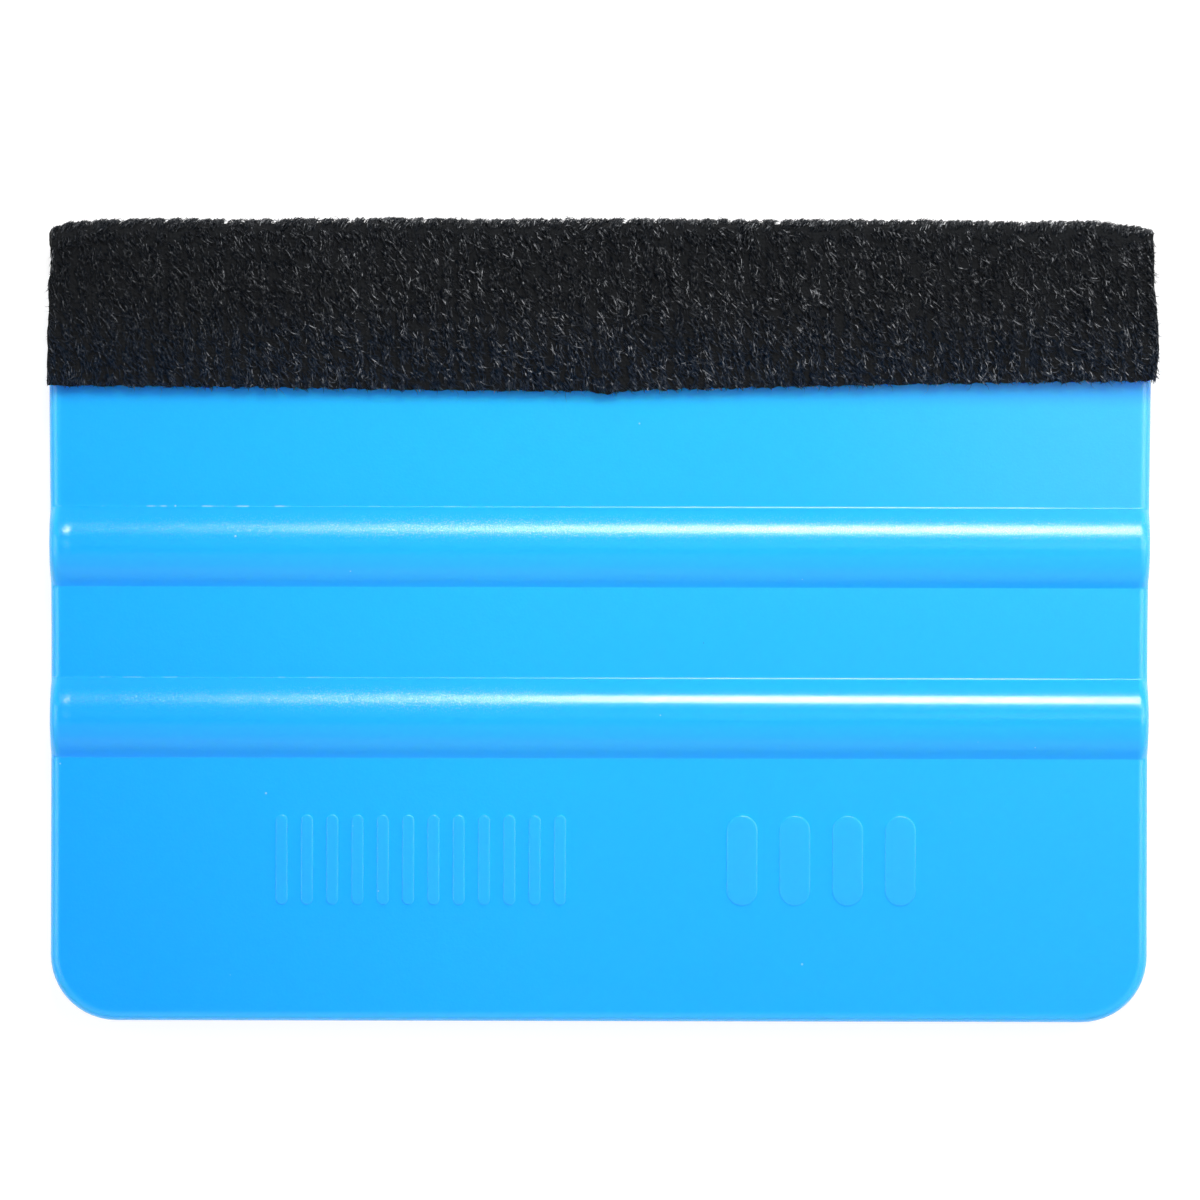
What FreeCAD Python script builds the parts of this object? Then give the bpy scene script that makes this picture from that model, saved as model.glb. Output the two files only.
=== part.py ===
import FreeCAD, Part
import os
from math import atan2, cos, sqrt, tan

# Felt-edged squeegee applicator, lying flat, in millimetres.
# X runs across the stroke, +Y points from the heel to the felt edge and +Z is
# up. The origin is the centre of the footprint, at the height of the back
# ribs' crests, which the tool rests on.

# ---- driving dimensions -----------------------------------------------------

# moulded card
BLADE_WIDTH = 100.3         # across the stroke, under the felt
WAIST_WIDTH = 99.8          # across the stroke, from the heel to the middle of the grip
BLADE_LENGTH = 71.7         # heel to bare working edge
PLATE_THICKNESS = 2.6
RIM_ROUND = 0.9             # rounding of the side and heel edges
HEEL_CORNER_RADIUS = 6.0

# working edge, thinned on both faces under the felt
TIP_THICKNESS = 1.4
BEVEL_LENGTH = 9.0
TIP_ROUND = 0.6
TIP_CORNER_RADIUS = 5.0

# grip ribs, the same on both faces
RIB_WIDTH = 7.4             # over the foot fillets
RIB_HEIGHT = 1.55
RIB_FOOT_ROUND = 0.15
RIB_SPACING = 15.55         # between the two crests
RIB_FROM_HEEL = 27.6        # heel to the nearer crest

# low relief on the front land: plain grip bars with round ends
BAR_LENGTH = 8.2
BAR_HEIGHT = 0.2
BAR_EDGE_ROUND = 0.12
BAR_FROM_HEEL = 14.7        # heel to the middle of the bars
SLIM_BAR_WIDTH = 1.1
SLIM_BAR_PITCH = 2.3
SLIM_BAR_COUNT = 12
SLIM_GROUP_X = -16.2        # middle of the slim group
BROAD_BAR_WIDTH = 2.8
BROAD_BAR_PITCH = 4.8
BROAD_BAR_COUNT = 4
BROAD_GROUP_X = 20.2        # middle of the broad group

# felt strip and the film that bonds it
FILM_THICKNESS = 0.1
FELT_THICKNESS = 1.2
FELT_FLAP = 15.4            # folded edge to the flap's free edge
FELT_OVERHANG = 0.1         # past each side of the card
FILM_INSET = 1.2            # film stops short of the flap's free edge and ends

# ---- places that follow from them -------------------------------------------

HALF_PLATE = PLATE_THICKNESS / 2
MID_PLANE_Z = HALF_PLATE + RIB_HEIGHT
WRAP = FILM_THICKNESS + FELT_THICKNESS
TIP_Y = (BLADE_LENGTH - WRAP) / 2
HEEL_Y = TIP_Y - BLADE_LENGTH
BEVEL_Y = TIP_Y - BEVEL_LENGTH
FELT_Y = TIP_Y + WRAP - FELT_FLAP
RIB_CRESTS_Y = (HEEL_Y + RIB_FROM_HEEL, HEEL_Y + RIB_FROM_HEEL + RIB_SPACING)
WAIST_Y = HEEL_Y + RIB_FROM_HEEL + RIB_SPACING / 2
FRONT_LAND_Z = MID_PLANE_Z + HALF_PLATE
BAR_Y = HEEL_Y + BAR_FROM_HEEL


def at(y, z, x=0.0):
    """A point given from the card's mid-plane."""
    return FreeCAD.Vector(x, y, MID_PLANE_Z + z)


def across(face_or_wire, width):
    """Extrude a section drawn at x = 0 to a solid centred across the stroke."""
    face = Part.Face(face_or_wire)
    face.translate(FreeCAD.Vector(-width / 2, 0, 0))
    return face.extrude(FreeCAD.Vector(width, 0, 0))


def rib_edges(crest_y, side):
    """Section edges of one bead from its heel foot to its tip foot.

    side is 1 for the front face and -1 for the back face. The feet meet the
    land tangentially.
    """
    half = RIB_WIDTH / 2
    bead_radius = (half ** 2 + RIB_HEIGHT ** 2) / (2 * RIB_HEIGHT) - RIB_FOOT_ROUND
    bead_z = HALF_PLATE + RIB_HEIGHT - bead_radius
    foot_z = HALF_PLATE + RIB_FOOT_ROUND
    share = RIB_FOOT_ROUND / (bead_radius + RIB_FOOT_ROUND)
    join_y = half * (1 - share)
    join_z = foot_z + (bead_z - foot_z) * share
    # the foot arc's middle, on the bisector of its two radii
    lean_y, lean_z = -half, bead_z - foot_z - (bead_radius + RIB_FOOT_ROUND)
    lean = RIB_FOOT_ROUND / sqrt(lean_y ** 2 + lean_z ** 2)
    foot_mid_y = half + lean_y * lean
    foot_mid_z = foot_z + lean_z * lean

    def point(y, z):
        return at(crest_y + y, side * z)

    return [
        Part.Arc(point(-half, HALF_PLATE), point(-foot_mid_y, foot_mid_z),
                 point(-join_y, join_z)).toShape(),
        Part.Arc(point(-join_y, join_z), point(0, HALF_PLATE + RIB_HEIGHT),
                 point(join_y, join_z)).toShape(),
        Part.Arc(point(join_y, join_z), point(foot_mid_y, foot_mid_z),
                 point(half, HALF_PLATE)).toShape(),
    ]


def face_edges(side):
    """Section edges of one face of the card, heel to tip, ribs included."""
    edges = []
    land_start = HEEL_Y
    for crest_y in RIB_CRESTS_Y:
        foot_y = crest_y - RIB_WIDTH / 2
        edges.append(Part.makeLine(at(land_start, side * HALF_PLATE),
                                   at(foot_y, side * HALF_PLATE)))
        edges.extend(rib_edges(crest_y, side))
        land_start = crest_y + RIB_WIDTH / 2
    edges.append(Part.makeLine(at(land_start, side * HALF_PLATE),
                               at(TIP_Y, side * HALF_PLATE)))
    return edges


def plan_prism():
    """A tall prism with the card's outline from above.

    The sides run straight from the heel to the waist, flare from there to the
    felt's flap and run straight again under it.
    """
    stations = [(HEEL_Y, WAIST_WIDTH), (WAIST_Y, WAIST_WIDTH),
                (FELT_Y, BLADE_WIDTH), (TIP_Y, BLADE_WIDTH)]
    right = [at(y, -2 * PLATE_THICKNESS, width / 2) for y, width in stations]
    left = [at(y, -2 * PLATE_THICKNESS, -width / 2) for y, width in reversed(stations)]
    outline = Part.Face(Part.makePolygon(right + left + right[:1]))
    return outline.extrude(FreeCAD.Vector(0, 0, 4 * PLATE_THICKNESS))


def card_with_ribs():
    """The card before its working edge is thinned, with a rounded rim."""
    heel = Part.makeLine(at(HEEL_Y, -HALF_PLATE), at(HEEL_Y, HALF_PLATE))
    tip = Part.makeLine(at(TIP_Y, -HALF_PLATE), at(TIP_Y, HALF_PLATE))
    section = Part.Wire(Part.__sortEdges__([heel] + face_edges(1) + [tip] + face_edges(-1)))
    card = across(section, BLADE_WIDTH).common(plan_prism())
    heel_corners = [edge for edge in card.Edges if is_upright(edge) and is_near(edge, HEEL_Y)]
    card = card.makeFillet(HEEL_CORNER_RADIUS, heel_corners)
    tip_corners = [edge for edge in card.Edges if is_upright(edge) and is_near(edge, TIP_Y)]
    card = card.makeFillet(TIP_CORNER_RADIUS, tip_corners)
    rim = [edge for edge in card.Edges if is_rim(edge)]
    return card.makeFillet(RIM_ROUND, rim)


def is_upright(edge):
    """True for an edge that runs along Z."""
    box = edge.BoundBox
    return box.ZLength > HALF_PLATE and max(box.XLength, box.YLength) < RIM_ROUND


def is_near(edge, y):
    """True for an edge at the card's end at y."""
    return abs(edge.CenterOfMass.y - y) < RIM_ROUND


def is_rim(edge):
    """True for an edge of the card's outline on either face, rib ends included."""
    runs_across = abs(edge.CenterOfMass.x) < RIM_ROUND
    at_an_end = is_near(edge, HEEL_Y) or is_near(edge, TIP_Y)
    return not is_upright(edge) and (at_an_end or not runs_across)


def working_end(offset, start_y, width):
    """The thinned working end of the card, grown by offset on every side.

    The card's own end has no offset. The film and the felt are shells between
    two of these, so they follow the bevel and the tip at an even thickness.
    """
    half_tip = TIP_THICKNESS / 2
    slope = atan2(HALF_PLATE - half_tip, BEVEL_LENGTH)
    land_z = HALF_PLATE + offset
    bevel_y = BEVEL_Y + offset * tan(slope / 2)
    tip_z = half_tip + offset / cos(slope) - offset * tan(slope)
    upper = [(start_y, land_z), (bevel_y, land_z), (TIP_Y + offset, tip_z)]
    lower = [(y, -z) for y, z in reversed(upper)]
    corners = [at(y, z) for y, z in upper + lower]
    end = across(Part.makePolygon(corners + corners[:1]), width)
    tips = [edge for edge in end.Edges
            if edge.BoundBox.XLength > width / 2 and edge.CenterOfMass.y > bevel_y + offset]
    return end.makeFillet(TIP_ROUND + offset, tips)


def grip_bar(width, middle_x):
    """One round-ended bar of the relief, standing on the front land."""
    half_run = (BAR_LENGTH - width) / 2
    radius = width / 2
    low, high = BAR_Y - half_run, BAR_Y + half_run
    left, right = middle_x - radius, middle_x + radius
    outline = Part.Wire([
        Part.makeLine(at(low, HALF_PLATE, left), at(high, HALF_PLATE, left)),
        Part.Arc(at(high, HALF_PLATE, left), at(high + radius, HALF_PLATE, middle_x),
                 at(high, HALF_PLATE, right)).toShape(),
        Part.makeLine(at(high, HALF_PLATE, right), at(low, HALF_PLATE, right)),
        Part.Arc(at(low, HALF_PLATE, right), at(low - radius, HALF_PLATE, middle_x),
                 at(low, HALF_PLATE, left)).toShape(),
    ])
    bar = Part.Face(outline).extrude(FreeCAD.Vector(0, 0, BAR_HEIGHT))
    top = [edge for edge in bar.Edges if edge.BoundBox.ZMin > FRONT_LAND_Z + BAR_HEIGHT / 2]
    return bar.makeFillet(BAR_EDGE_ROUND, top)


def bar_group(count, width, pitch, middle_x):
    """A row of equal bars centred on middle_x."""
    first_x = middle_x - pitch * (count - 1) / 2
    return [grip_bar(width, first_x + pitch * index) for index in range(count)]


def blade():
    """The whole moulding: card, ribs, thinned working edge and relief."""
    room = BLADE_WIDTH + 2 * FELT_OVERHANG
    stock = Part.makeBox(room, BEVEL_LENGTH + WRAP, 2 * PLATE_THICKNESS,
                         at(BEVEL_Y, -PLATE_THICKNESS, -room / 2))
    waste = stock.cut(working_end(0.0, BEVEL_Y, room))
    body = card_with_ribs().cut(waste)
    bars = bar_group(SLIM_BAR_COUNT, SLIM_BAR_WIDTH, SLIM_BAR_PITCH, SLIM_GROUP_X)
    bars += bar_group(BROAD_BAR_COUNT, BROAD_BAR_WIDTH, BROAD_BAR_PITCH, BROAD_GROUP_X)
    return body.fuse(bars)


def adhesive_film():
    """Bonding film folded round the working edge, just inside the felt."""
    width = BLADE_WIDTH - 2 * FILM_INSET
    start_y = FELT_Y + FILM_INSET
    outer = working_end(FILM_THICKNESS, start_y, width)
    return outer.cut(working_end(0.0, start_y, width))


def felt_strip():
    """Felt folded over the working edge, with a flap on each face."""
    width = BLADE_WIDTH + 2 * FELT_OVERHANG
    outer = working_end(WRAP, FELT_Y, width)
    return outer.cut(working_end(FILM_THICKNESS, FELT_Y, width))


def write(name, shape):
    """Save one piece, after checking that it is one sound solid."""
    solid = shape.Solids[0]
    if len(shape.Solids) != 1 or not solid.isValid():
        raise RuntimeError(f"{name}: {len(shape.Solids)} solids, valid {shape.isValid()}")
    solid.exportStep(f"parts/{name}.step")
    box = solid.BoundBox
    print(f"{name}: {solid.Volume:.1f} mm3, {box.XLength:.2f} x {box.YLength:.2f} x {box.ZLength:.2f}")


os.makedirs("parts", exist_ok=True)
write("blade", blade())
write("adhesive_film", adhesive_film())
write("felt_strip", felt_strip())
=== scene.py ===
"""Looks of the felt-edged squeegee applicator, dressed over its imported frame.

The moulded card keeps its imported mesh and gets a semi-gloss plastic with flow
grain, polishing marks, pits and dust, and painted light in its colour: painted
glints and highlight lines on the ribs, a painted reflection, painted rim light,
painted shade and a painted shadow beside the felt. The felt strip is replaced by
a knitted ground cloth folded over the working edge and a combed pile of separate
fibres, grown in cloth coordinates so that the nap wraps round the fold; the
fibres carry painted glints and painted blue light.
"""

from __future__ import annotations

import logging
import math
from dataclasses import dataclass, field
from enum import Enum
from typing import Any, Sequence

import bpy
import numpy as np
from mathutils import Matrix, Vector

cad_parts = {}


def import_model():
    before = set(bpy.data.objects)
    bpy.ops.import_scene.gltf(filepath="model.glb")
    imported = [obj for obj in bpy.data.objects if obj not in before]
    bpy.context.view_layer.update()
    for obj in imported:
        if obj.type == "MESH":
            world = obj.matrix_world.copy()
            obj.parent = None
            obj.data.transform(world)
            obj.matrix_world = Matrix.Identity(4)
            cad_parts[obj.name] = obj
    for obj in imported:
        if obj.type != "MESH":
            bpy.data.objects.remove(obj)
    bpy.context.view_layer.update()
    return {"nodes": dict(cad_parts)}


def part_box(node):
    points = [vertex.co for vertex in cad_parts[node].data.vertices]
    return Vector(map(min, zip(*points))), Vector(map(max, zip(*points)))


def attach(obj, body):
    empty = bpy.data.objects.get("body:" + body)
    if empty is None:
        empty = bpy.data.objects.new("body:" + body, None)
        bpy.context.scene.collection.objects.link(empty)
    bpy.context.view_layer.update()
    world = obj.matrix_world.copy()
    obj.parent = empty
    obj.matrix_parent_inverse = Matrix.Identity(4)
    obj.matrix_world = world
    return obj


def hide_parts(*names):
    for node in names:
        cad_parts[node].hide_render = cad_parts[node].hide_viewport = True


LOG = logging.getLogger("squeegee")
MM = 0.001
BODY = "root"
WHITE = (1.0, 1.0, 1.0, 1.0)
Array = np.ndarray
Socket = bpy.types.NodeSocket
Colour = tuple[float, float, float, float]
Place = tuple[float, float, float]


# ---- shapes of change ---------------------------------------------------------


@dataclass(frozen=True)
class Ease:
    """A smooth change from one value to another, held at both ends.

    Attributes:
        low: Where the change begins.
        high: Where it is done.
        start: Value before it.
        end: Value after it.
    """

    low: float
    high: float
    start: float = 0.0
    end: float = 1.0

    def at(self, value: Array) -> Array:
        """The eased values, of the same shape as value."""
        share = np.clip((value - self.low) / (self.high - self.low), 0.0, 1.0)
        return self.start + (self.end - self.start) * share * share * (3.0 - 2.0 * share)


def over_mm(low: float, high: float, start: float = 0.0, end: float = 1.0) -> Ease:
    """An ease between two places given in millimetres."""
    return Ease(low * MM, high * MM, start, end)


@dataclass(frozen=True)
class Dip:
    """A dent with sloping sides in a straight edge.

    Attributes:
        depth: How deep it is.
        into: Where the edge falls into it.
        out_of: Where the edge comes out again.
    """

    depth: float
    into: Ease
    out_of: Ease

    def at(self, value: Array) -> Array:
        """Its depth at each value."""
        return self.depth * (self.into.at(value) - self.out_of.at(value))


@dataclass(frozen=True)
class Bump:
    """A rounded bump on a line.

    Attributes:
        centre: Where it is highest.
        width: Half its width, at a third of its height.
        height: Its height.
    """

    centre: float
    width: float
    height: float

    def at(self, value: Array) -> Array:
        """Its height at each value."""
        return self.height * np.exp(-(((value - self.centre) / self.width) ** 2))


def ripple(value: Array, period: float, seed: int, octaves: int = 3) -> Array:
    """A repeatable uneven wave between about -1 and 1.

    Args:
        value: Positions along the wave, in metres.
        period: Longest wavelength, in metres.
        seed: Chooses the phases.
        octaves: How many shorter waves are added to the longest.

    Returns:
        The wave's height at each position.
    """
    fade, tallest = 1.6, 1.8
    rng = np.random.default_rng(seed)
    total = np.zeros_like(value, dtype=float)
    for octave in range(octaves):
        stretch = 1.0 + 0.35 * rng.random()
        phase = 2.0 * math.pi * rng.random()
        wave = np.sin(2.0 * math.pi * value * stretch * 2**octave / period + phase)
        total += wave / fade**octave
    return total / tallest


@dataclass(frozen=True)
class Wave:
    """An uneven wave in an edge.

    Attributes:
        height: How high it is.
        period: Its longest wavelength.
        seed: Chooses its phases.
    """

    height: float
    period: float
    seed: int

    def at(self, value: Array) -> Array:
        """Its height at each value."""
        return self.height * ripple(value, self.period, self.seed)


@dataclass(frozen=True)
class Fading:
    """A pull that dies away with the distance from an end.

    Attributes:
        depth: How strong it is at the end.
        reach: Distance over which it falls to about a third.
    """

    depth: float
    reach: float

    def at(self, distance: Array) -> Array:
        """Its strength at each distance."""
        return self.depth * np.exp(-distance / self.reach)


@dataclass(frozen=True)
class Scatter:
    """Random factors round 1, held between two limits.

    Attributes:
        spread: Their standard deviation.
        low: The least factor.
        high: The greatest factor.
    """

    spread: float
    low: float
    high: float

    def draw(self, rng: np.random.Generator, count: int) -> Array:
        """As many factors as count says."""
        return np.clip(1.0 + self.spread * rng.standard_normal(count), self.low, self.high)


# ---- mesh tools ---------------------------------------------------------------


def mesh_object(
    name: str, points: Array, quads: Array, tris: Array, uv: Array | None = None
) -> bpy.types.Object:
    """Make a smooth-shaded mesh object from vertex and face arrays.

    Args:
        name: Name of the object and its mesh.
        points: Vertex positions in metres, n by 3.
        quads: Four-sided faces as vertex numbers, n by 4.
        tris: Three-sided faces as vertex numbers, n by 3.
        uv: One UV position for each vertex, for a UV map named OFBake.

    Returns:
        The linked object.
    """
    corners = np.concatenate([quads.ravel(), tris.ravel()]).astype(np.int32)
    starts = np.concatenate(
        [4 * np.arange(len(quads)), 4 * len(quads) + 3 * np.arange(len(tris))]
    ).astype(np.int32)
    mesh = bpy.data.meshes.new(name)
    mesh.vertices.add(len(points))
    mesh.vertices.foreach_set("co", points.astype(np.float32).ravel())
    mesh.loops.add(len(corners))
    mesh.loops.foreach_set("vertex_index", corners)
    mesh.polygons.add(len(starts))
    mesh.polygons.foreach_set("loop_start", starts)
    mesh.polygons.foreach_set("use_smooth", np.ones(len(starts), dtype=bool))
    mesh.update(calc_edges=True)
    if uv is not None:
        layer = mesh.uv_layers.new(name="OFBake")
        layer.uv.foreach_set("vector", uv[corners].astype(np.float32).ravel())
    mesh.validate()
    made = bpy.data.objects.new(name, mesh)
    bpy.context.scene.collection.objects.link(made)
    return made


def quad_grid(numbers: Array) -> Array:
    """Faces over a grid of vertex numbers."""
    corners = [numbers[:-1, :-1], numbers[1:, :-1], numbers[1:, 1:], numbers[:-1, 1:]]
    return np.stack(corners, axis=-1).reshape(-1, 4)


def round_corners(corners: Array, radii: Sequence[float], turns: int = 24) -> Array:
    """Round the inner corners of an open outline.

    Args:
        corners: The outline's points, ends included.
        radii: One radius for each inner corner.
        turns: How many points each arc gets.

    Returns:
        The rounded outline's points.
    """
    outline = [corners[0]]
    for before, corner, after, radius in zip(corners, corners[1:], corners[2:], radii):
        arrive = (corner - before) / np.linalg.norm(corner - before)
        leave = (after - corner) / np.linalg.norm(after - corner)
        turn = math.acos(float(np.clip(arrive @ leave, -1.0, 1.0)))
        reach = radius * math.tan(turn / 2)
        side = leave - arrive
        centre = corner + side / np.linalg.norm(side) * radius / math.cos(turn / 2)
        start, end = corner - arrive * reach - centre, corner + leave * reach - centre
        for share in np.linspace(0.0, 1.0, turns):
            spoke = start * math.sin((1 - share) * turn) + end * math.sin(share * turn)
            outline.append(centre + spoke / math.sin(turn))
    outline.append(corners[-1])
    return np.array(outline)


# ---- shader tools -------------------------------------------------------------


class Graph:
    """Adds nodes to one node tree and joins them with few words."""

    def __init__(self, tree: bpy.types.NodeTree) -> None:
        """Start on a tree, with its nodes cleared."""
        self.tree = tree
        tree.nodes.clear()

    def node(
        self, kind: str, sockets: dict[Any, Any] | None = None, **settings: Any
    ) -> bpy.types.Node:
        """Add one node.

        Args:
            kind: Blender's node type.
            sockets: Input name or number to a number, a colour or a socket to link.
            **settings: The node's own properties.

        Returns:
            The new node.
        """
        made = self.tree.nodes.new(kind)
        for key, value in settings.items():
            setattr(made, key, value)
        for key, value in (sockets or {}).items():
            self.feed(made.inputs[key], value)
        return made

    def feed(self, target: Socket, value: Any) -> None:
        """Link a socket to target, or set target to a plain value."""
        if isinstance(value, bpy.types.NodeSocket):
            self.tree.links.new(value, target)
        else:
            target.default_value = value

    def math(self, operation: str, first: Any, *others: Any) -> Socket:
        """Join values with Math nodes of one kind, from left to right.

        Args:
            operation: Blender's name of the operation.
            first: A number or a socket.
            *others: More of them; none for an operation on one value.

        Returns:
            The last node's result.
        """
        result = first
        for other in others or (0.0,):
            result = self.node("ShaderNodeMath", {0: result, 1: other}, operation=operation).outputs[0]
        return result

    def times(self, *values: Any) -> Socket:
        """The product of two or more values."""
        return self.math("MULTIPLY", *values)

    def plus(self, *values: Any) -> Socket:
        """The sum of two or more values."""
        return self.math("ADD", *values)

    def minus(self, first: Any, second: Any) -> Socket:
        """What is left of the first value without the second."""
        return self.math("SUBTRACT", first, second)

    def most(self, *values: Any) -> Socket:
        """The largest of two or more values."""
        return self.math("MAXIMUM", *values)

    def ramp(self, value: Any, ease: Ease) -> Socket:
        """Ease a value.

        Args:
            value: A number or a socket.
            ease: The change that it goes through.

        Returns:
            The eased value.
        """
        sockets = {
            "Value": value, "From Min": ease.low, "From Max": ease.high,
            "To Min": ease.start, "To Max": ease.end,
        }
        made = self.node("ShaderNodeMapRange", sockets, interpolation_type="SMOOTHSTEP")
        return made.outputs["Result"]

    def band(self, value: Socket, centre: float, fall: Ease) -> Socket:
        """Ease how far a value is from a centre."""
        return self.ramp(self.math("ABSOLUTE", self.minus(value, centre)), fall)

    def blend(self, share: Any, first: Any, second: Any) -> Socket:
        """Mix two colours.

        Args:
            share: How much of the second there is.
            first: A colour or a socket.
            second: A colour or a socket.

        Returns:
            The mixed colour.
        """
        made = self.node("ShaderNodeMix", data_type="RGBA")
        for name, value in (("Factor", share), ("A", first), ("B", second)):
            self.feed(made.inputs[name], value)
        return made.outputs["Result"]

    def noise(self, vector: Socket, scale: Any, detail: float, roughness: float = 0.5) -> Socket:
        """Noise round 0.5.

        Args:
            vector: Where it is looked up.
            scale: How many lumps there are to a unit.
            detail: How many finer layers it has.
            roughness: How strong those are.

        Returns:
            The noise's height.
        """
        sockets = {"Vector": vector, "Scale": scale, "Detail": detail, "Roughness": roughness}
        return self.node("ShaderNodeTexNoise", sockets).outputs["Fac"]

    def streaks(self, vector: Socket, rates: Place, roughness: float = 0.5) -> Socket:
        """Noise with its own number of lumps to a metre along each axis."""
        drawn = self.node("ShaderNodeVectorMath", {0: vector, 1: rates}, operation="MULTIPLY")
        return self.noise(drawn.outputs["Vector"], 1.0, 2.0, roughness)

    def place(self) -> Socket:
        """The place on the piece, in metres."""
        return self.node("ShaderNodeTexCoord").outputs["Object"]

    def axes(self, vector: Socket) -> tuple[Socket, ...]:
        """The three parts of a vector."""
        return tuple(self.node("ShaderNodeSeparateXYZ", {"Vector": vector}).outputs)

    def group(self, tree: bpy.types.NodeTree, **values: Any) -> Socket:
        """Place a shared node group and set its inputs by name.

        Args:
            tree: The shared group.
            **values: Its inputs, as numbers or sockets.

        Returns:
            The group's one result.
        """
        return self.node("ShaderNodeGroup", values, node_tree=tree).outputs[0]

    def raise_by(self, shader: bpy.types.Node, height: Socket) -> None:
        """Tilt a shader's normal by a height in metres."""
        tilt = self.node("ShaderNodeBump", {"Height": height, "Distance": 1.0, "Strength": 1.0})
        self.feed(shader.inputs["Normal"], tilt.outputs["Normal"])


def new_group(name: str, inputs: dict[str, float], output: str) -> tuple[Graph, Any, Socket]:
    """Start a shared node group with a Vector input, float inputs and one float output.

    Args:
        name: Name of the group.
        inputs: Float input name to its default value.
        output: Name of the output.

    Returns:
        The graph to fill, the group's inputs and the socket that takes its result.
    """
    tree = bpy.data.node_groups.new(name, "ShaderNodeTree")
    tree.interface.new_socket("Vector", in_out="INPUT", socket_type="NodeSocketVector")
    for label, default in inputs.items():
        made = tree.interface.new_socket(label, in_out="INPUT", socket_type="NodeSocketFloat")
        made.default_value = default
    tree.interface.new_socket(output, in_out="OUTPUT", socket_type="NodeSocketFloat")
    graph = Graph(tree)
    given = graph.node("NodeGroupInput").outputs
    return graph, given, graph.node("NodeGroupOutput").inputs[output]


class Effects:
    """Node groups that more than one material uses."""

    def __init__(self) -> None:
        """Build each group once."""
        self.grain = self._grain()
        self.dust = self._dust()
        self.drift = self._drift()

    @staticmethod
    def _grain() -> bpy.types.NodeTree:
        """Fine and coarse unevenness of a surface.

        Returns:
            The group, which gives a height.
        """
        coarse_rate = 0.17
        graph, given, result = new_group("surface_grain", {"Pitch": 1.0 * MM, "Coarse": 0.5}, "Height")
        rate = graph.math("DIVIDE", 1.0, given["Pitch"])
        fine = graph.noise(given["Vector"], rate, 2.0, 0.6)
        coarse = graph.noise(given["Vector"], graph.times(rate, coarse_rate), 1.0)
        graph.feed(result, graph.plus(fine, graph.times(coarse, given["Coarse"])))
        return graph.tree

    @staticmethod
    def _dust() -> bpy.types.NodeTree:
        """Sparse specks.

        Returns:
            The group, which gives 1 on a speck and 0 between them.
        """
        inputs = {"Spacing": 4.0 * MM, "Size": 0.08, "Share": 0.5}
        graph, given, result = new_group("dust_specks", inputs, "Mask")
        rate = graph.math("DIVIDE", 1.0, given["Spacing"])
        sockets = {"Vector": given["Vector"], "Scale": rate, "Randomness": 1.0}
        cells = graph.node("ShaderNodeTexVoronoi", sockets)
        pick = graph.node("ShaderNodeSeparateColor", {"Color": cells.outputs["Color"]}).outputs
        kept = graph.math("LESS_THAN", pick["Red"], given["Share"])
        reach = graph.times(given["Size"], pick["Green"])
        near = graph.minus(1.0, graph.math("DIVIDE", cells.outputs["Distance"], reach))
        graph.feed(result, graph.times(graph.ramp(near, Ease(0.0, 0.5)), kept))
        return graph.tree

    @staticmethod
    def _drift() -> bpy.types.NodeTree:
        """Slow change from one side of a piece to another.

        Returns:
            The group, which gives a value from 0 to 1.
        """
        graph, given, result = new_group("slow_drift", {"Pitch": 30.0 * MM}, "Value")
        rate = graph.math("DIVIDE", 1.0, given["Pitch"])
        slow = graph.noise(given["Vector"], rate, 1.0, 0.4)
        graph.feed(result, graph.ramp(slow, Ease(0.3, 0.7)))
        return graph.tree


@dataclass(frozen=True)
class Specks:
    """How one kind of speck is strewn.

    Attributes:
        spacing: Mean distance between two places for a speck.
        size: Largest radius, as a share of the spacing.
        share: Share of the places that have one.
    """

    spacing: float
    size: float
    share: float

    def mask(self, graph: Graph, effects: Effects, place: Socket) -> Socket:
        """1 on a speck and 0 between them."""
        values = {"Spacing": self.spacing, "Size": self.size, "Share": self.share}
        return graph.group(effects.dust, Vector=place, **values)


@dataclass(frozen=True)
class Grain:
    """Fine unevenness of one finish.

    Attributes:
        pitch: Size of the finest lumps.
        coarse: How strong the coarser ones are.
    """

    pitch: float
    coarse: float

    def height(self, graph: Graph, effects: Effects, place: Socket) -> Socket:
        """Its height, without a unit."""
        return graph.group(effects.grain, Vector=place, Pitch=self.pitch, Coarse=self.coarse)


def new_material(
    name: str, constants: dict[str, Any]
) -> tuple[bpy.types.Material, Graph, bpy.types.Node]:
    """Start a material on a Principled shader.

    Args:
        name: Name of the material.
        constants: Shader inputs that are the same all over the surface.

    Returns:
        The material, its graph and its Principled node.
    """
    made = bpy.data.materials.new(name)
    made.use_nodes = True
    graph = Graph(made.node_tree)
    shader = graph.node("ShaderNodeBsdfPrincipled", constants)
    graph.node("ShaderNodeOutputMaterial", {"Surface": shader.outputs["BSDF"]})
    return made, graph, shader


# ---- finishes -----------------------------------------------------------------


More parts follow.
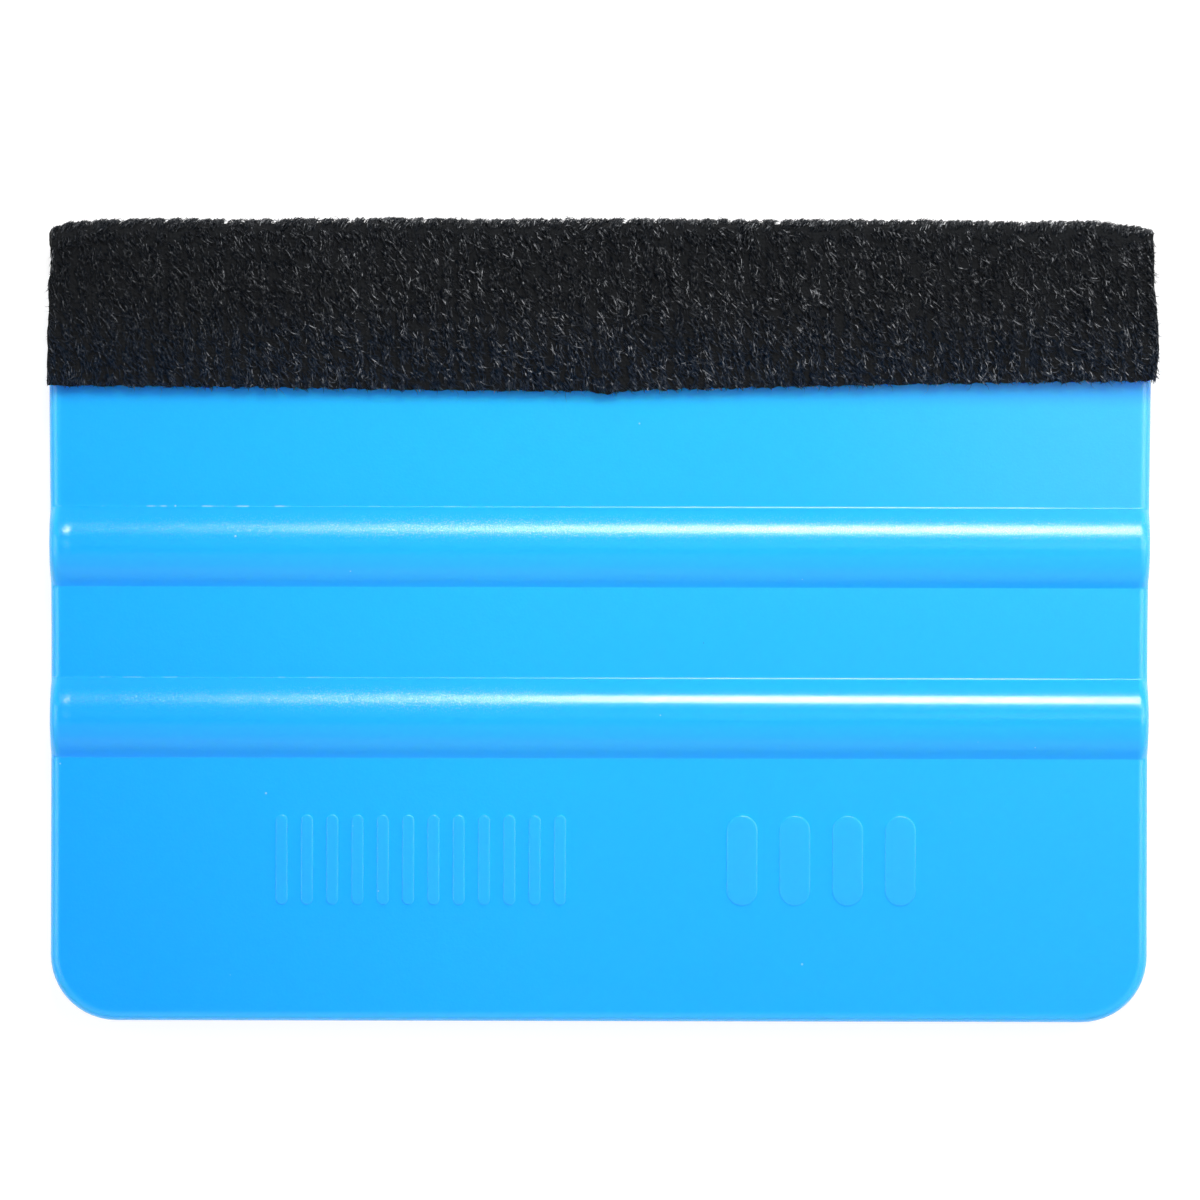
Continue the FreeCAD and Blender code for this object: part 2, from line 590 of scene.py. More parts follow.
@dataclass
class CardMarks:
    """Where the card is pitted and polished, and where light and shade are painted on it: painted
    glints, highlight lines, a reflection, rim light, shade and a shadow beside the felt.

    Every mark depends on the place on the card alone. A name that ends in _x,
    _y or _z is a change along that axis, and one in _across is a change with
    the distance from a rib's crest.

    Attributes:
        graph: The card's material.
        crest_y: Crest of the rib nearer the heel.
        rib_spacing: From that crest to the other one.
        corner: Centre of the right heel corner's rounding, in X and Y.
        rim: Distance from a corner's centre over which the rim and its painted rim light begin.
        pits_at: Middle of the pitted strip, past the crest.
        pits_across: How the pits thin out from that middle.
        pits_x: Fewer pits towards the left end.
        pits_polish: Fewer pits where the mould is polished.
        foot_at: The painted highlight line at a rib's upper foot, past the crest.
        foot_across: How that line fades to its sides.
        foot_x: Where the whole line appears.
        foot_end_x: Where it fades again.
        dash_rates: Lumps to a metre in the noise that breaks it up.
        dash: Which of those lumps show as dashes.
        dash_x: Strength of the dashes, stronger at the left.
        dash_y: Strength of the dashes, stronger on the rib nearer the felt.
        lip_x: Height of the lip at a rib's left end, in metres.
        lip_y: Lower lip on the rib nearer the heel.
        lip_across: How the lip fades from the crest.
        relief_z: Paler tops of the low relief.
        relief_y: Where the relief's part of the card begins.
        painted_reflection_x: Painted reflection, paler towards the right.
        painted_reflection_y: Painted reflection, paler towards the felt.
        painted_shade_x: Painted shade, darker towards the left.
        painted_shade_y: Painted shade, darker towards the heel.
        polished_x: Finer mould polish on the right half.
        polished_y: Finer mould polish on the rib nearer the heel.
        mark_rates: Lumps to a metre in the polishing marks' noise.
        mark: Which of those lumps show as marks.
        painted_shadow_y: Share of painted shadow along the felt's edge.
    """

    graph: Graph
    crest_y: float = -8.90 * MM
    rib_spacing: float = 15.55 * MM
    corner: tuple[float, float] = (43.9 * MM, -30.5 * MM)
    rim: Ease = over_mm(4.9, 5.7)
    # pits_at: Middle of the pitted strip, past the crest; its pits carry painted glints.
    pits_at: float = 1.74 * MM
    pits_across: Ease = over_mm(0.30, 1.60, 1.0, 0.0)
    pits_x: Ease = over_mm(-50.0, -5.0, 0.12, 1.0)
    pits_polish: Ease = Ease(0.0, 0.7, 1.0, 0.0)
    foot_at: float = 3.66 * MM
    foot_across: Ease = over_mm(0.03, 0.11, 1.0, 0.0)
    foot_x: Ease = over_mm(-14.0, 24.0, 0.0, 0.21)
    foot_end_x: Ease = over_mm(37.0, 46.0, 1.0, 0.2)
    dash_rates: Place = (450.0, 60.0, 0.0)
    dash: Ease = Ease(0.54, 0.62)
    dash_x: Ease = over_mm(-27.0, -23.0, 0.25, 0.05)
    dash_y: Ease = over_mm(-2.0, 2.0, 0.3, 1.0)
    lip_x: Ease = over_mm(-48.85, -47.80, 0.077 * MM, 0.0)
    lip_y: Ease = over_mm(-4.0, 4.0, 0.7, 1.0)
    lip_across: Ease = over_mm(0.8, 3.2, 1.0, 0.0)
    relief_z: Ease = over_mm(4.18, 4.26, 0.0, 0.012)
    relief_y: float = -14.0 * MM
    painted_reflection_x: Ease = over_mm(14.0, 50.0, 0.0, 0.030)
    painted_reflection_y: Ease = over_mm(4.0, 12.0)
    painted_shade_x: Ease = over_mm(-75.0, 0.0, 0.76, 0.0)
    painted_shade_y: Ease = over_mm(-65.0, 25.0, 0.75, 0.0)
    polished_x: Ease = over_mm(-16.0, 12.0)
    polished_y: Ease = over_mm(-4.0, 2.0, 1.0, 0.25)
    mark_rates: Place = (22.0, 1500.0, 300.0)
    mark: Ease = Ease(0.60, 0.78)
    painted_shadow_y: Ease = over_mm(19.2, 21.2, 0.0, 0.36)

    def __post_init__(self) -> None:
        """Find the place, how far it is past its rib's crest, and the polish there."""
        graph = self.graph
        self.place = graph.place()
        self.x, self.y, self.z = graph.axes(self.place)
        middle = self.crest_y + self.rib_spacing / 2
        upper = graph.times(graph.math("GREATER_THAN", self.y, middle), self.rib_spacing)
        self.across = graph.minus(graph.plus(self.y, -self.crest_y), upper)
        self.polished = self._product(self.polished_x, self.polished_y)

    def _product(self, ease_x: Ease, ease_y: Ease) -> Socket:
        """A mask that changes along both X and Y."""
        return self.graph.times(self.graph.ramp(self.x, ease_x), self.graph.ramp(self.y, ease_y))

    def painted_rim_light(self) -> Socket:
        """The rounded rim, where rim light is painted.

        Returns:
            1 on the outline and 0 a millimetre inside it.
        """
        graph = self.graph
        width = graph.minus(graph.math("ABSOLUTE", self.x), self.corner[0])
        depth = graph.minus(self.corner[1], self.y)
        sockets = {"X": graph.most(width, 0.0), "Y": graph.most(depth, 0.0)}
        past = graph.node("ShaderNodeCombineXYZ", sockets).outputs["Vector"]
        reach = graph.node("ShaderNodeVectorMath", {0: past}, operation="LENGTH")
        return graph.ramp(reach.outputs["Value"], self.rim)

    def pitted(self) -> Socket:
        """How many pits the ribs' crests have; the pits are dented and carry painted glints.

        Returns:
            1 in the middle of the strip, less at the left and where polished.
        """
        graph = self.graph
        zone = graph.band(self.across, self.pits_at, self.pits_across)
        along = graph.ramp(self.x, self.pits_x)
        return graph.times(zone, along, graph.ramp(self.polished, self.pits_polish))

    def painted_foot_highlight(self) -> Socket:
        """The painted highlight line at a rib's upper foot.

        Returns:
            Its strength: dashes at the left, and whole at the right.
        """
        graph = self.graph
        line = graph.band(self.across, self.foot_at, self.foot_across)
        whole = graph.times(graph.ramp(self.x, self.foot_x), graph.ramp(self.x, self.foot_end_x))
        noise = graph.streaks(self.place, self.dash_rates)
        upper = self._product(self.dash_x, self.dash_y)
        dashes = graph.times(graph.ramp(noise, self.dash), upper)
        return graph.times(line, graph.most(whole, dashes))

    def lip(self) -> Socket:
        """The small lip at each rib's left end, as a height in metres."""
        crest = self.graph.band(self.across, 0.0, self.lip_across)
        return self.graph.times(self._product(self.lip_x, self.lip_y), crest)

    def paler_relief_and_painted_reflection(self) -> Socket:
        """Paler places: the low relief's tops, and a painted reflection.

        Returns:
            The share of paler colour on the low relief and of the painted reflection towards the top
            right.
        """
        graph = self.graph
        raised = graph.ramp(self.z, self.relief_z)
        relief = graph.times(raised, graph.math("LESS_THAN", self.y, self.relief_y))
        return graph.most(relief, self._product(self.painted_reflection_x, self.painted_reflection_y))

    def flow(self) -> Socket:
        """Painted shade, from 0 to 1: darker towards the left and the heel."""
        graph = self.graph
        both = graph.plus(graph.ramp(self.x, self.painted_shade_x), graph.ramp(self.y, self.painted_shade_y))
        return graph.math("MINIMUM", both, 1.0)

    def polish_marks(self) -> Socket:
        """Thin lines left by polishing the mould across the stroke."""
        return self.graph.ramp(self.graph.streaks(self.place, self.mark_rates, 0.55), self.mark)


@dataclass(frozen=True)
class MouldedPlastic:
    """Sky-blue polyolefin straight from the mould, a little dusty, with painted light and shade in its
    colour.

    Attributes:
        colour: Body colour, linear.
        painted_shade_colour: Darker body colour towards the left and the heel, painted shade.
        painted_shadow_colour: Painted shadow colour along the felt's edge, deepening its cast shadow.
        painted_rim_light_colour: Paler body colour on the thin rim, painted rim light.
        painted_rim_light_share: How much painted rim light the rim has.
        relief_and_painted_light_colour: Pale colour of the low relief's tops, and of the painted
            glints, painted highlight lines and painted reflection.
        painted_glint_share: How much of it the pits have, as painted glints.
        dust: How the dust is strewn.
        dust_colour: Colour of dust specks.
        dust_share: How much of it a speck has.
        grit: How the rare dark grit is strewn.
        grit_colour: Colour of the grit.
        grit_share: How much of it a grain has.
        gloss: Roughness of the polished mould face.
        uneven_gloss: How far that roughness goes down and up.
        dull_gloss: Extra roughness of pits and specks.
        haze: Weight of the soft second shine round each highlight.
        haze_gloss: Roughness of that second shine.
        ior: Refractive index.
        scatter: How far each colour of light travels inside, as shares.
        scatter_depth: The longest of those distances.
        pits: The tiny pits that make the ribs' shine sparkle, by their dents and by painted glints in
            the colour.
        pit_level: Which of that noise's lumps are pits.
        pit_depth: Depth of the pits.
        grain: The flow grain.
        grain_depth: Depth of that grain.
        polished_depth: Its depth where the mould is polished.
        mark_depth: Depth of the mould's polishing marks, which run across.
        speck_height: Height of a dust speck.
    """

    colour: Colour = (0.0090, 0.468, 1.0, 1.0)
    painted_shade_colour: Colour = (0.0036, 0.358, 1.0, 1.0)
    painted_shadow_colour: Colour = (0.0020, 0.0200, 0.60, 1.0)
    painted_rim_light_colour: Colour = (0.040, 0.560, 1.0, 1.0)
    painted_rim_light_share: float = 0.7
    relief_and_painted_light_colour: Colour = (0.75, 0.90, 1.0, 1.0)
    painted_glint_share: float = 0.16
    dust: Specks = Specks(2.6 * MM, 0.050, 0.40)
    dust_colour: Colour = (0.75, 0.88, 0.95, 1.0)
    dust_share: float = 0.30
    grit: Specks = Specks(9.0 * MM, 0.014, 0.3)
    grit_colour: Colour = (0.02, 0.16, 0.4, 1.0)
    grit_share: float = 0.5
    gloss: float = 0.18
    uneven_gloss: tuple[float, float] = (0.03, 0.05)
    dull_gloss: float = 0.13
    haze: float = 0.25
    haze_gloss: float = 0.40
    ior: float = 1.55
    scatter: Place = (0.03, 0.20, 1.0)
    scatter_depth: float = 3.5 * MM
    pits: Grain = Grain(0.15 * MM, 0.0)
    pit_level: Ease = Ease(0.50, 0.66)
    pit_depth: float = 0.0040 * MM
    grain: Grain = Grain(0.26 * MM, 0.5)
    grain_depth: float = 0.0120 * MM
    polished_depth: float = 0.0015 * MM
    mark_depth: float = 0.0040 * MM
    speck_height: float = 0.01 * MM

    def material(self, effects: Effects) -> bpy.types.Material:
        """Build the finish.

        Args:
            effects: The shared node groups.

        Returns:
            The material.
        """
        constants = {
            "IOR": self.ior, "Coat Weight": self.haze, "Coat Roughness": self.haze_gloss,
            "Subsurface Weight": 1.0, "Subsurface Radius": self.scatter,
            "Subsurface Scale": self.scatter_depth,
        }
        made, graph, shader = new_material("moulded_plastic", constants)
        shader.subsurface_method = "BURLEY"
        card = CardMarks(graph)
        fine = self.pits.height(graph, effects, card.place)
        pits = graph.times(graph.ramp(fine, self.pit_level), card.pitted())
        speck = self.dust.mask(graph, effects, card.place)
        grit = self.grit.mask(graph, effects, card.place)
        grain = self.grain.height(graph, effects, card.place)
        graph.feed(shader.inputs["Base Color"], self._body(card, pits, speck, grit))
        rough = Ease(0.5, 1.1, self.gloss - self.uneven_gloss[0], self.gloss + self.uneven_gloss[1])
        dull = graph.times(graph.most(speck, pits), self.dull_gloss)
        graph.feed(shader.inputs["Roughness"], graph.plus(graph.ramp(grain, rough), dull))
        graph.raise_by(shader, self._relief(card, pits, speck, grain))
        return made

    def _body(self, card: CardMarks, pits: Socket, speck: Socket, grit: Socket) -> Socket:
        """The colour of the surface, with painted light and shade.

        Args:
            card: The card's marks.
            pits: 1 in a pit.
            speck: 1 on a dust speck.
            grit: 1 on a grain of grit.

        Returns:
            The colour.
        """
        graph = card.graph
        # Painted shade: the body colour is darker towards the left and the heel.
        plain = graph.blend(card.flow(), self.colour, self.painted_shade_colour)
        # Painted rim light: the rounded rim is paler.
        painted_rim_light = graph.blend(graph.times(card.painted_rim_light(), self.painted_rim_light_share), plain, self.painted_rim_light_colour)
        # Painted glints in the pits on the ribs' crests, a painted highlight line at each rib's upper
        # foot, a painted reflection towards the top right, and the low relief's paler tops.
        pale = graph.most(graph.times(pits, self.painted_glint_share), card.painted_foot_highlight(), card.paler_relief_and_painted_reflection())
        with_relief_and_painted_light = graph.blend(pale, painted_rim_light, self.relief_and_painted_light_colour)
        # Painted shadow: darker blue along the felt's edge, deepening its cast shadow.
        body = graph.blend(graph.ramp(card.y, card.painted_shadow_y), with_relief_and_painted_light, self.painted_shadow_colour)
        dusty = graph.blend(graph.times(speck, self.dust_share), body, self.dust_colour)
        return graph.blend(graph.times(grit, self.grit_share), dusty, self.grit_colour)

    def _relief(self, card: CardMarks, pits: Socket, speck: Socket, grain: Socket) -> Socket:
        """The height of the surface.

        Args:
            card: The card's marks.
            pits: 1 in a pit.
            speck: 1 on a dust speck.
            grain: The flow grain's height, without a unit.

        Returns:
            The height in metres.
        """
        graph = card.graph
        depth = graph.ramp(card.polished, Ease(0.0, 1.0, self.grain_depth, self.polished_depth))
        grained = graph.times(grain, depth)
        pitted = graph.times(pits, -self.pit_depth)
        marks = graph.times(card.polish_marks(), self.mark_depth, card.polished)
        dust = graph.times(speck, self.speck_height)
        return graph.plus(grained, pitted, marks, card.lip(), dust)


@dataclass(frozen=True)
class BlackFibre:
    """Dyed synthetic fibre of the felt, with a dull shine, painted glints and painted blue light.

    Attributes:
        dark: Colour of the darkest fibres, linear.
        light: Colour of the painted glints on a few fibres.
        painted_blue_light_colour: Painted blue light reflected from the card, beside the flaps' cut
            edges.
        painted_blue_light_reach: How far in from the edges that painted light goes.
        painted_blue_light_share: How strong it is at the edges.
        rarity: How few fibres carry painted glints, as a power.
        grain: Unevenness along the fibres.
        painted_glint_level: Which lumps of the grain carry a painted glint.
        painted_glint_shade_x: Painted shade: fewer painted glints towards the left.
        gloss: Roughness of the shiniest fibres.
        matt: Roughness of the dullest ones.
        shine: Specular level.
    """

    dark: Colour = (0.0010, 0.0040, 0.0088, 1.0)
    light: Colour = (0.62, 0.64, 0.67, 1.0)
    painted_blue_light_colour: Colour = (0.0010, 0.0155, 0.0440, 1.0)
    painted_blue_light_reach: float = 9.0 * MM
    painted_blue_light_share: float = 0.75
    rarity: float = 6.0
    grain: Grain = Grain(0.35 * MM, 0.3)
    painted_glint_level: Ease = Ease(0.56, 0.82)
    painted_glint_shade_x: Ease = over_mm(-54.0, -8.0, 0.30, 1.0)
    gloss: float = 0.15
    matt: float = 0.32
    shine: float = 0.46

    def material(self, effects: Effects, edge_y: float) -> bpy.types.Material:
        """Build the finish; each strand's own shade is a mesh attribute.

        Args:
            effects: The shared node groups.
            edge_y: Where both flaps end; painted blue light is strongest near it.

        Returns:
            The material.
        """
        made, graph, shader = new_material("black_fibre", {"Specular IOR Level": self.shine})
        place = graph.place()
        strand = graph.node("ShaderNodeAttribute", attribute_name="strand").outputs["Fac"]
        x, y, _ = graph.axes(place)
        # Painted blue light reflected from the card, strongest beside the cut edges.
        near = graph.ramp(y, Ease(edge_y, edge_y + self.painted_blue_light_reach, self.painted_blue_light_share, 0.0))
        body = graph.blend(near, self.dark, self.painted_blue_light_colour)
        grain = self.grain.height(graph, effects, place)
        # Painted glints: pale segments on a few fibres, fewer towards the left as painted shade.
        rare = graph.math("POWER", strand, self.rarity)
        pale = graph.times(rare, graph.ramp(grain, self.painted_glint_level), graph.ramp(x, self.painted_glint_shade_x))
        graph.feed(shader.inputs["Base Color"], graph.blend(pale, body, self.light))
        rough = graph.ramp(strand, Ease(0.3, 0.9, self.matt, self.gloss))
        graph.feed(shader.inputs["Roughness"], rough)
        return made


@dataclass(frozen=True)
class GroundKnit:
    """The felt's knitted ground cloth, matt black between the tufts.

    Attributes:
        colour: Colour of the yarn, linear.
        painted_stitch_shade_colour: Darker colour deep between the stitches, painted shade.
        stitch_pitch: Distance between stitches.
        stitch_height: Height of a stitch.
        fuzz: The yarn's fuzz.
        fuzz_height: Height of that fuzz.
        matt: Roughness.
        shine: Specular level.
    """

    colour: Colour = (0.0060, 0.0074, 0.0094, 1.0)
    painted_stitch_shade_colour: Colour = (0.0036, 0.0044, 0.0056, 1.0)
    stitch_pitch: float = 0.35 * MM
    stitch_height: float = 0.08 * MM
    fuzz: Grain = Grain(0.08 * MM, 0.5)
    fuzz_height: float = 0.02 * MM
    matt: float = 0.85
    shine: float = 0.25

    def material(self, effects: Effects) -> bpy.types.Material:
        """Build the finish.

        Args:
            effects: The shared node groups.

        Returns:
            The material.
        """
        constants = {"Roughness": self.matt, "Specular IOR Level": self.shine}
        made, graph, shader = new_material("ground_knit", constants)
        place = graph.place()
        sockets = {"Vector": place, "Scale": 1.0 / self.stitch_pitch, "Randomness": 0.6}
        stitches = graph.node("ShaderNodeTexVoronoi", sockets)
        rise = graph.ramp(stitches.outputs["Distance"], Ease(0.1, 0.7, 1.0, 0.0))
        # Painted shade: darker colour deep between the stitches.
        graph.feed(shader.inputs["Base Color"], graph.blend(rise, self.painted_stitch_shade_colour, self.colour))
        fuzz = graph.times(self.fuzz.height(graph, effects, place), self.fuzz_height)
        graph.raise_by(shader, graph.plus(graph.times(rise, self.stitch_height), fuzz))
        return made


@dataclass(frozen=True)
class BondingFilm:
    """Milky double-sided film, seen only if the felt is lifted.

    Attributes:
        colour: Colour of the film, linear.
        aged_colour: Colour where the adhesive is thicker.
        drift_pitch: Size of the thicker places.
        grain: The film's unevenness.
        rough: Roughness over the grain's height.
        ripple_height: Height of that unevenness.
    """

    colour: Colour = (0.72, 0.70, 0.62, 1.0)
    aged_colour: Colour = (0.60, 0.55, 0.42, 1.0)
    drift_pitch: float = 6.0 * MM
    grain: Grain = Grain(0.4 * MM, 1.0)
    rough: Ease = Ease(0.4, 1.4, 0.25, 0.5)
    ripple_height: float = 0.01 * MM

    def material(self, effects: Effects) -> bpy.types.Material:
        """Build the finish.

        Args:
            effects: The shared node groups.

        Returns:
            The material.
        """
        made, graph, shader = new_material("bonding_film", {})
        place = graph.place()
        drift = graph.group(effects.drift, Vector=place, Pitch=self.drift_pitch)
        graph.feed(shader.inputs["Base Color"], graph.blend(drift, self.colour, self.aged_colour))
        grain = self.grain.height(graph, effects, place)
        graph.feed(shader.inputs["Roughness"], graph.ramp(grain, self.rough))
        graph.raise_by(shader, graph.times(grain, self.ripple_height))
        return made


# ---- the felt strip -----------------------------------------------------------


@dataclass(frozen=True)
class CardEdge:
    """Side profile of the card's bare working edge.

    Attributes:
        tip_y: Where the edge is.
        mid_z: Height of the card's mid-plane.
        half_plate: Half the plate's thickness.
        half_tip: Half the thickness of the edge.
        bevel_length: Length over which the card thins.
        tip_round: Rounding of the edge's two corners.
    """

    tip_y: float
    mid_z: float
    half_plate: float = 1.3 * MM
    half_tip: float = 0.7 * MM
    bevel_length: float = 9.0 * MM
    tip_round: float = 0.6 * MM


@dataclass
class FoldedPath:
    """Side profile of a layer folded over the working edge.

    It runs from the back flap's free edge, round the tip, to the front flap's
    free edge. Places on it are a distance along and a height above it.

    Attributes:
        edge: The card's working edge.
        free_y: Where both flaps end.
        lift: Distance of the layer from the card's surface.
        bend: Rounding where the layer follows the bevel's start.
        samples: How many points the profile has.
    """

    edge: CardEdge
    free_y: float
    lift: float
    bend: float = 12.0 * MM
    samples: int = 1600
    along: Array = field(init=False)
    points: Array = field(init=False)
    normals: Array = field(init=False)

    def __post_init__(self) -> None:
        """Sample the profile finely, with its outward normals."""
        edge, lift = self.edge, self.lift
        slope = math.atan2(edge.half_plate - edge.half_tip, edge.bevel_length)
        land = edge.half_plate + lift
        bevel_y = edge.tip_y - edge.bevel_length + lift * math.tan(slope / 2)
        tip_z = edge.half_tip + lift / math.cos(slope) - lift * math.tan(slope)
        half = [(self.free_y, -land), (bevel_y, -land), (edge.tip_y + lift, -tip_z)]
        corners = np.array(half + [(y, -z) for y, z in reversed(half)])
        nose = min(edge.tip_round + lift, 0.98 * tip_z)
        outline = round_corners(corners, [self.bend, nose, nose, self.bend])
        steps = np.linalg.norm(np.diff(outline, axis=0), axis=1)
        run = np.concatenate([[0.0], np.cumsum(steps)])
        self.along = np.linspace(0.0, run[-1], self.samples)
        self.points = np.column_stack([np.interp(self.along, run, outline[:, i]) for i in (0, 1)])
        self.points[:, 1] += edge.mid_z
        heading = np.gradient(self.points, self.along, axis=0)
        heading /= np.linalg.norm(heading, axis=1)[:, None]
        self.normals = np.column_stack([heading[:, 1], -heading[:, 0]])

    @property
    def length(self) -> float:
        """Distance from one free edge to the other."""
        return float(self.along[-1])

    def _look_up(self, table: Array, along: Array) -> list[Array]:
        """The Y and Z parts of a table at distances along the profile."""
        return [np.interp(along, self.along, table[:, i]) for i in (0, 1)]

    def place(self, x: Array, along: Array, height: Array) -> Array:
        """Points in the frame for cloth coordinates.

        Args:
            x: Positions across the stroke.
            along: Distances along the profile; past an end they run straight on.
            height: Heights above the layer.

        Returns:
            The points, with a last axis of three.
        """
        held = np.clip(along, 0.0, self.length)
        over = along - held
        base, normal = self._look_up(self.points, held), self._look_up(self.normals, held)
        heading = (-normal[1], normal[0])
        y, z = (base[i] + normal[i] * height + heading[i] * over for i in (0, 1))
        return np.stack([x + 0.0 * y, y, z], axis=-1)

    def normal_at(self, along: Array) -> Array:
        """Outward unit normals at distances along the profile."""
        held = np.clip(along, 0.0, self.length)
        return np.stack([0.0 * held, *self._look_up(self.normals, held)], axis=-1)


class Zone(Enum):
    """Stretch of the strip that one piece of the pile covers."""

    BACK = "back"
    FOLD = "fold"
    FRONT = "front"


@dataclass
class FeltStrip:
    """Brushed knit felt folded over the working edge.

    Attributes:
        edge: The card's working edge.
        free_y: Where both flaps nominally end.
        film: Thickness of the bonding film.
        ground: Thickness of the ground cloth.
        wale: Distance between the columns of tufts.
        course: Distance between the rows of tufts.
        nap_deg: Lean of the nap from the strip's length towards +X.
        left_x: How far left of the middle the strip ends.
        right_x: How far right of the middle it ends.
        left_dips: Dents in the left end, by the distance below the fold.
        right_swell: Swelling of the right end.
        sag: Droop of the front flap's cut edge.
        lump: Small lump in that edge.
        edge_lift: How far that edge lies above its nominal place.
        edge_slope: How much more it lies above it for each length to the right.
        crown: Swelling of the fold's middle.
        left_wave: Unevenness of the left end.
        right_wave: Unevenness of the right end.
        front_wave: Unevenness of the front flap's cut edge.
        back_wave: Unevenness of the back flap's cut edge.
        fold_wave: Unevenness of the fold.
        front_scallop: Depth of the stitches' wave in the front flap's cut edge.
        back_scallop: Depth of that wave in the back flap's cut edge.
        back_short: How far the back flap ends before its nominal place.
        left_end: Left end of the fold, from the middle.
        right_end: Right end of the fold, from the middle.
        left_pulls: How the fold is drawn in towards its left end.
        right_pull: How it is drawn in at its right end.
        right_corner: How far the card's right corner draws it in as well.
        corner_reach: Distance from the right end over which that happens.
        fold_out: How far the fold stands out elsewhere.
        tip_reach: Distance before the working edge over which all this begins.
        stripe_height: Height of the stripes in the ground cloth.
        row_share: How strongly the tufts' rows break up those stripes.
    """

    edge: CardEdge
    free_y: float
    film: float = 0.1 * MM
    ground: float = 0.7 * MM
    wale: float = 1.39 * MM
    course: float = 0.98 * MM
    nap_deg: float = 29.0
    left_x: float = 50.2 * MM
    right_x: float = 50.3 * MM
    left_dips: tuple[Dip, ...] = (
        Dip(0.38 * MM, over_mm(0.8, 2.2), over_mm(4.6, 6.6)),
        Dip(0.10 * MM, over_mm(6.0, 7.4), over_mm(9.8, 11.0)),
    )
    right_swell: Bump = Bump(11.5 * MM, 3.6 * MM, 0.45 * MM)
    sag: Bump = Bump(-5.0 * MM, 26.0 * MM, 0.40 * MM)
    lump: Bump = Bump(0.6 * MM, 1.3 * MM, 0.28 * MM)
    edge_lift: float = 0.20 * MM
    edge_slope: float = 0.0125
    crown: Bump = Bump(-6.0 * MM, 34.0 * MM, 0.13 * MM)
    left_wave: Wave = Wave(0.05 * MM, 5.0 * MM, 10)
    right_wave: Wave = Wave(0.05 * MM, 5.0 * MM, 12)
    front_wave: Wave = Wave(0.10 * MM, 3.1 * MM, 3)
    back_wave: Wave = Wave(0.2 * MM, 80.0 * MM, 5)
    fold_wave: Wave = Wave(0.06 * MM, 30.0 * MM, 21)
    front_scallop: float = 0.10 * MM
    back_scallop: float = 0.13 * MM
    back_short: float = 1.0 * MM
    left_end: float = 50.2 * MM
    right_end: float = 50.4 * MM
    left_pulls: tuple[Fading, Fading] = (Fading(0.75 * MM, 1.2 * MM), Fading(0.25 * MM, 5.0 * MM))
    right_pull: Fading = Fading(0.15 * MM, 0.5 * MM)
    right_corner: float = 0.70 * MM
    corner_reach: float = 5.6 * MM
    fold_out: float = 0.1 * MM
    tip_reach: float = 6.0 * MM
    stripe_height: float = 0.06 * MM
    row_share: float = 0.6

    def __post_init__(self) -> None:
        """Work out the two faces of the ground cloth."""
        self.inner = FoldedPath(self.edge, self.free_y, self.film)
        self.outer = FoldedPath(self.edge, self.free_y, self.film + self.ground)
        self.fold_at = self.outer.length / 2

    def side_x(self, along: Array, side: int) -> Array:
        """Where the strip ends across the stroke.

        Args:
            along: Distances along the strip.
            side: -1 for the left end and 1 for the right end.

        Returns:
            The X of the cut end at each distance.
        """
        down = along - self.fold_at
        if side < 0:
            wave, reach = self.left_wave, self.left_x
            for dip in self.left_dips:
                reach = reach - dip.at(down)
        else:
            wave, reach = self.right_wave, self.right_x + self.right_swell.at(down)
        return side * (reach + wave.at(along))

    def _scallop(self, x: Array, depth: float) -> Array:
        """The stitches' wave in a cut edge."""
        return depth * np.abs(np.sin(math.pi * x / (0.9 * self.wale)))

    def front_end(self, x: Array) -> Array:
        """How far the front flap's cut edge lies past its nominal place.

        Args:
            x: Positions across the stroke.

        Returns:
            The distance at each position.
        """
        lift = self.edge_lift + self.edge_slope * np.maximum(x, 0.0)
        drooped = self.sag.at(x) - lift + self.lump.at(x) + self._scallop(x, self.front_scallop)
        return drooped + self.front_wave.at(x)

    def back_end(self, x: Array) -> Array:
        """How far the back flap's cut edge lies past its nominal place."""
        return self.back_wave.at(x) + self._scallop(x, self.back_scallop) - self.back_short

    def settle(self, points: Array) -> Array:
        """Draw the fold in where it rounds the card's two corners.

        Args:
            points: Points in the frame.

        Returns:
            The same points, pulled back near the strip's two ends.
        """
        x = points[..., 0]
        left = np.maximum(x + self.left_end, 0.0)
        right = np.maximum(self.right_end - x, 0.0)
        near, wide = self.left_pulls
        pull = near.at(left) + wide.at(left)
        corner = np.clip(1.0 - right / self.corner_reach, 0.0, 1.0)
        pull += self.right_corner * corner + self.right_pull.at(right)
        pull += self.fold_wave.at(x) - self.fold_out - self.crown.at(x)
        near_tip = Ease(self.edge.tip_y - self.tip_reach, self.edge.tip_y).at(points[..., 1])
        moved = points.copy()
        moved[..., 1] -= pull * near_tip
        return moved

